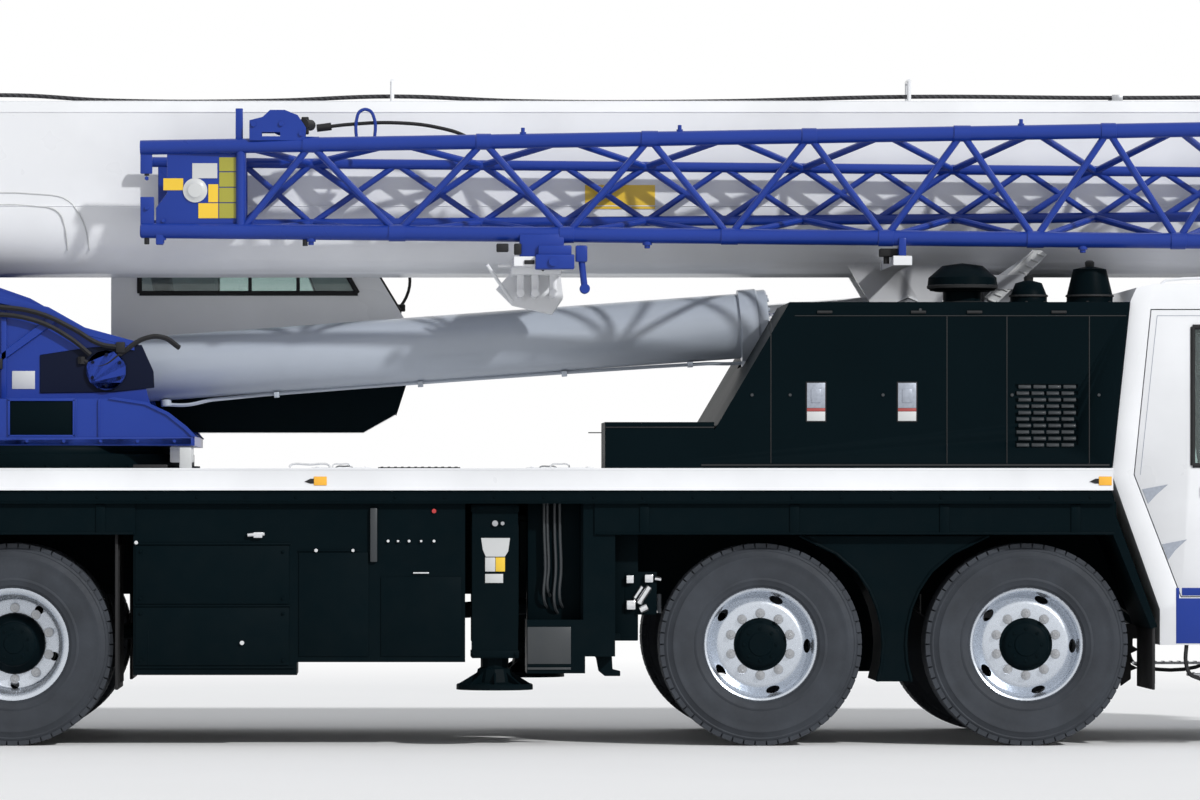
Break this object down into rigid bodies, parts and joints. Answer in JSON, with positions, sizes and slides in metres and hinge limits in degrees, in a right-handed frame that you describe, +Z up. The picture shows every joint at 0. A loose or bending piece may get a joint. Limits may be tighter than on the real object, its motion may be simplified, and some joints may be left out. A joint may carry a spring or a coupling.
{
  "type": "mobile crane, truck mounted, telescopic boom",
  "caption": "Truck crane stowed for the road: wheeled carrier with cab, slewing platform with operator's cab, telescopic boom, lattice jib alongside, outriggers folded in.",
  "frame": {"origin": "on the ground, under the middle of the whole machine's length and width", "axes": "+X towards the carrier's front and the boom head, +Y the vehicle's left, +Z up"},
  "size_m": [12.9, 2.75, 3.65],
  "materials": {
    "white_paint": "gloss enamel",
    "blue_paint": "gloss enamel",
    "black_paint": "satin enamel",
    "grey_paint": "gloss enamel",
    "tyre_rubber": "moulded rubber",
    "rim_silver": "silver wheel paint",
    "steel": "machined",
    "glass": "clear tinted",
    "trim": "grained"
  },
  "bodies": {
    "carrier": {"chassis_frame": "black_paint", "deck": "white_paint", "engine_block": "grey_paint", "engine_hood": "black_paint", "boom_rest": "grey_paint", "side_gear_right": "black_paint", "side_gear_left": "black_paint", "slew_ring": "black_paint", "carrier_cab": "white_paint", "carrier_windscreen": "glass", "carrier_interior": "trim", "bumper": "black_paint", "axle_1_beam": "black_paint", "axle_2_beam": "black_paint", "rear_axles": "black_paint"},
    "superstructure": {"superstructure": "blue_paint", "counterweight": "blue_paint", "winch": "steel", "operator_cab": "white_paint", "operator_windscreen": "glass", "operator_side_glass": "glass", "operator_seat": "trim"},
    "operator_door": {"operator_door": "white_paint"},
    "boom": {"boom_base": "white_paint", "lattice_jib": "blue_paint"},
    "boom_section_2": {"boom_section_2": "white_paint"},
    "boom_section_3": {"boom_section_3": "white_paint"},
    "boom_section_4": {"boom_section_4": "white_paint"},
    "hook_block": {"hook_block": "blue_paint"},
    "lift_barrel": {"lift_barrel": "grey_paint"},
    "lift_rod": {"lift_rod": "steel"},
    "wheel_1_right": {"wheel_1_right_tyre": "tyre_rubber", "wheel_1_right_rim": "rim_silver"},
    "knuckle_1_right": {"knuckle_1_right": "steel"},
    "wheel_1_left": {"wheel_1_left_tyre": "tyre_rubber", "wheel_1_left_rim": "rim_silver"},
    "knuckle_1_left": {"knuckle_1_left": "steel"},
    "wheel_2_right": {"wheel_2_right_tyre": "tyre_rubber", "wheel_2_right_rim": "rim_silver"},
    "knuckle_2_right": {"knuckle_2_right": "steel"},
    "wheel_2_left": {"wheel_2_left_tyre": "tyre_rubber", "wheel_2_left_rim": "rim_silver"},
    "knuckle_2_left": {"knuckle_2_left": "steel"},
    "wheel_3_right": {"wheel_3_right_twin": "tyre_rubber"},
    "wheel_3_left": {"wheel_3_left_twin": "tyre_rubber"},
    "wheel_4_right": {"wheel_4_right_twin": "tyre_rubber"},
    "wheel_4_left": {"wheel_4_left_twin": "tyre_rubber"},
    "carrier_door_right": {"carrier_door_right": "white_paint", "carrier_door_right_glass": "glass"},
    "outrigger_front_right_beam": {"outrigger_front_right_beam": "black_paint"},
    "outrigger_front_right_jack": {"outrigger_front_right_jack": "black_paint"},
    "outrigger_rear_right_beam": {"outrigger_rear_right_beam": "black_paint"},
    "outrigger_rear_right_jack": {"outrigger_rear_right_jack": "black_paint"},
    "carrier_door_left": {"carrier_door_left": "white_paint", "carrier_door_left_glass": "glass"},
    "outrigger_front_left_beam": {"outrigger_front_left_beam": "black_paint"},
    "outrigger_front_left_jack": {"outrigger_front_left_jack": "black_paint"},
    "outrigger_rear_left_beam": {"outrigger_rear_left_beam": "black_paint"},
    "outrigger_rear_left_jack": {"outrigger_rear_left_jack": "black_paint"}
  },
  "joints": [
    {"name": "steer_1_right", "type": "hinge", "parent": "carrier", "child": "knuckle_1_right", "pos_m": [2.574, -0.92, 0.542], "axis": [0, 0, 1], "range_deg": [-35, 35]},
    {"name": "spin_1_right", "type": "hinge", "parent": "knuckle_1_right", "child": "wheel_1_right", "pos_m": [2.574, -1.1, 0.542], "axis": [0, 1, 0], "continuous": true},
    {"name": "steer_1_left", "type": "hinge", "parent": "carrier", "child": "knuckle_1_left", "pos_m": [2.574, 0.92, 0.542], "axis": [0, 0, 1], "range_deg": [-35, 35]},
    {"name": "spin_1_left", "type": "hinge", "parent": "knuckle_1_left", "child": "wheel_1_left", "pos_m": [2.574, 1.1, 0.542], "axis": [0, 1, 0], "continuous": true},
    {"name": "steer_2_right", "type": "hinge", "parent": "carrier", "child": "knuckle_2_right", "pos_m": [1.152, -0.92, 0.542], "axis": [0, 0, 1], "range_deg": [-28, 28]},
    {"name": "spin_2_right", "type": "hinge", "parent": "knuckle_2_right", "child": "wheel_2_right", "pos_m": [1.152, -1.1, 0.542], "axis": [0, 1, 0], "continuous": true},
    {"name": "steer_2_left", "type": "hinge", "parent": "carrier", "child": "knuckle_2_left", "pos_m": [1.152, 0.92, 0.542], "axis": [0, 0, 1], "range_deg": [-28, 28]},
    {"name": "spin_2_left", "type": "hinge", "parent": "knuckle_2_left", "child": "wheel_2_left", "pos_m": [1.152, 1.1, 0.542], "axis": [0, 1, 0], "continuous": true},
    {"name": "spin_3_right", "type": "hinge", "parent": "carrier", "child": "wheel_3_right", "pos_m": [-2.851, -0.925, 0.542], "axis": [0, 1, 0], "continuous": true},
    {"name": "spin_3_left", "type": "hinge", "parent": "carrier", "child": "wheel_3_left", "pos_m": [-2.851, 0.925, 0.542], "axis": [0, 1, 0], "continuous": true},
    {"name": "spin_4_right", "type": "hinge", "parent": "carrier", "child": "wheel_4_right", "pos_m": [-4.201, -0.925, 0.542], "axis": [0, 1, 0], "continuous": true},
    {"name": "spin_4_left", "type": "hinge", "parent": "carrier", "child": "wheel_4_left", "pos_m": [-4.201, 0.925, 0.542], "axis": [0, 1, 0], "continuous": true},
    {"name": "slew", "type": "hinge", "parent": "carrier", "child": "superstructure", "pos_m": [-2.8, 0, 1.61], "axis": [0, 0, 1], "continuous": true},
    {"name": "boom_lift", "type": "hinge", "parent": "superstructure", "child": "boom", "pos_m": [-4.19, 0, 2.75], "axis": [0, -1, 0], "range_deg": [0, 80]},
    {"name": "lift_barrel_pivot", "type": "hinge", "parent": "superstructure", "child": "lift_barrel", "pos_m": [-2.384, 0, 2.026], "axis": [0, -1, 0], "range_deg": [0, 88.71]},
    {"name": "lift_rod_slide", "type": "slide", "parent": "lift_barrel", "child": "lift_rod", "axis": [0.9974, 0, 0.0727], "range_m": [0, 2.367]},
    {"name": "telescope_2", "type": "slide", "parent": "boom", "child": "boom_section_2", "axis": [1, 0, 0], "range_m": [0, 7.2]},
    {"name": "telescope_3", "type": "slide", "parent": "boom_section_2", "child": "boom_section_3", "axis": [1, 0, 0], "range_m": [0, 7.2]},
    {"name": "telescope_4", "type": "slide", "parent": "boom_section_3", "child": "boom_section_4", "axis": [1, 0, 0], "range_m": [0, 7.2]},
    {"name": "hook_hang", "type": "hinge", "parent": "boom_section_4", "child": "hook_block", "pos_m": [6.18, 0, 2.47], "axis": [0, -1, 0], "range_deg": [-80, 0]},
    {"name": "operator_door_slide", "type": "slide", "parent": "superstructure", "child": "operator_door", "axis": [-1, 0, 0], "range_m": [0, 0.6]},
    {"name": "carrier_door_right_hinge", "type": "hinge", "parent": "carrier", "child": "carrier_door_right", "pos_m": [4.42, -1.268, 1.2], "axis": [0, 0, 1], "range_deg": [0, 70]},
    {"name": "outrigger_front_right_slide", "type": "slide", "parent": "carrier", "child": "outrigger_front_right_beam", "axis": [0, -1, 0], "range_m": [0, 1.7]},
    {"name": "jack_front_right_slide", "type": "slide", "parent": "outrigger_front_right_beam", "child": "outrigger_front_right_jack", "axis": [0, 0, -1], "range_m": [0, 0.55]},
    {"name": "outrigger_rear_right_slide", "type": "slide", "parent": "carrier", "child": "outrigger_rear_right_beam", "axis": [0, -1, 0], "range_m": [0, 1.7]},
    {"name": "jack_rear_right_slide", "type": "slide", "parent": "outrigger_rear_right_beam", "child": "outrigger_rear_right_jack", "axis": [0, 0, -1], "range_m": [0, 0.55]},
    {"name": "carrier_door_left_hinge", "type": "hinge", "parent": "carrier", "child": "carrier_door_left", "pos_m": [4.42, 1.268, 1.2], "axis": [0, 0, -1], "range_deg": [0, 70]},
    {"name": "outrigger_front_left_slide", "type": "slide", "parent": "carrier", "child": "outrigger_front_left_beam", "axis": [0, 1, 0], "range_m": [0, 1.7]},
    {"name": "jack_front_left_slide", "type": "slide", "parent": "outrigger_front_left_beam", "child": "outrigger_front_left_jack", "axis": [0, 0, -1], "range_m": [0, 0.55]},
    {"name": "outrigger_rear_left_slide", "type": "slide", "parent": "carrier", "child": "outrigger_rear_left_beam", "axis": [0, 1, 0], "range_m": [0, 1.7]},
    {"name": "jack_rear_left_slide", "type": "slide", "parent": "outrigger_rear_left_beam", "child": "outrigger_rear_left_jack", "axis": [0, 0, -1], "range_m": [0, 0.55]}
  ],
  "couplings": [
    {"joint": "steer_1_left", "follows": "steer_1_right", "ratio": 1},
    {"joint": "steer_2_right", "follows": "steer_1_right", "ratio": 0.79},
    {"joint": "steer_2_left", "follows": "steer_1_right", "ratio": 0.79},
    {"joint": "lift_barrel_pivot", "follows": "boom_lift", "ratio": 1.1077},
    {"joint": "lift_rod_slide", "follows": "boom_lift", "m_per_rad": 1.6916},
    {"joint": "telescope_3", "follows": "telescope_2", "ratio": 1},
    {"joint": "telescope_4", "follows": "telescope_2", "ratio": 1},
    {"joint": "hook_hang", "follows": "boom_lift", "ratio": -1}
  ]
}
